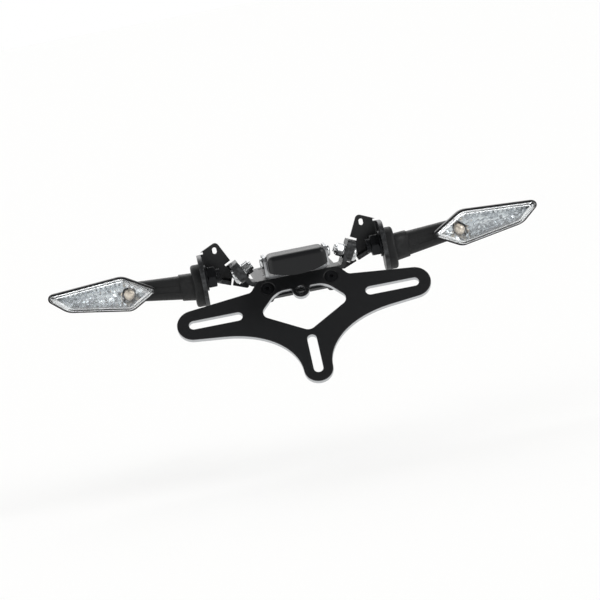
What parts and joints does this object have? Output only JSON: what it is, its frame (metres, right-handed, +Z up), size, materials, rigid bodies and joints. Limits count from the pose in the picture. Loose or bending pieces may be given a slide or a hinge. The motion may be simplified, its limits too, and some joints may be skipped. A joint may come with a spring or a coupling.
{
  "type": "motorcycle tail tidy",
  "caption": "Folded black bracket that bolts under a motorcycle's tail and carries a slotted number-plate carrier, a plate light and clear-lens indicators on stalks.",
  "frame": {"origin": "centre of the four tail bolt holes, on the top face of the main bracket's deck", "axes": "+X to the right seen from behind, +Y forwards under the tail, +Z up into the tail"},
  "size_m": [0.341, 0.1771, 0.1007],
  "materials": {
    "black_powder_coat": "fine-textured semi-gloss powder coat on sheet steel",
    "black_plastic": "satin moulded ABS",
    "black_rubber": "matte moulded rubber",
    "black_steel": "black oxide steel",
    "bright_steel": "bright zinc-plated steel",
    "clear_lens": "clear polycarbonate",
    "silvered_reflector": "vacuum-metallised plastic",
    "amber_glass": "amber lacquered glass",
    "circuit_board": "white solder mask",
    "led_white": "phosphor-coated LED"
  },
  "bodies": {
    "root": {"carrier_bolts": "black_steel", "carrier_nuts": "black_steel", "carrier_washers": "black_steel", "indicator_bracket_left": "black_powder_coat", "indicator_bracket_right": "black_powder_coat", "indicator_bulb_holder_left": "black_plastic", "indicator_bulb_holder_right": "black_plastic", "indicator_bulb_left": "amber_glass", "indicator_bulb_right": "amber_glass", "indicator_housing_left": "black_plastic", "indicator_housing_right": "black_plastic", "indicator_lens_left": "clear_lens", "indicator_lens_right": "clear_lens", "indicator_nut_left": "black_steel", "indicator_nut_right": "black_steel", "indicator_reflector_left": "silvered_reflector", "indicator_reflector_right": "silvered_reflector", "indicator_seal_left": "black_rubber", "indicator_seal_right": "black_rubber", "indicator_stalk_left": "black_rubber", "indicator_stalk_right": "black_rubber", "indicator_stem_left": "black_steel", "indicator_stem_right": "black_steel", "indicator_washer_left": "black_steel", "indicator_washer_right": "black_steel", "light_bracket": "black_powder_coat", "light_bracket_bolts": "bright_steel", "light_bracket_nuts": "bright_steel", "main_bracket": "black_powder_coat", "plate_carrier": "black_powder_coat", "plate_light_board": "circuit_board", "plate_light_housing": "black_plastic", "plate_light_leds": "led_white", "plate_light_lens": "clear_lens", "plate_light_screws": "bright_steel", "wing_bolts": "bright_steel", "wing_nuts": "bright_steel", "wing_washers": "bright_steel"}
  },
  "joints": []
}
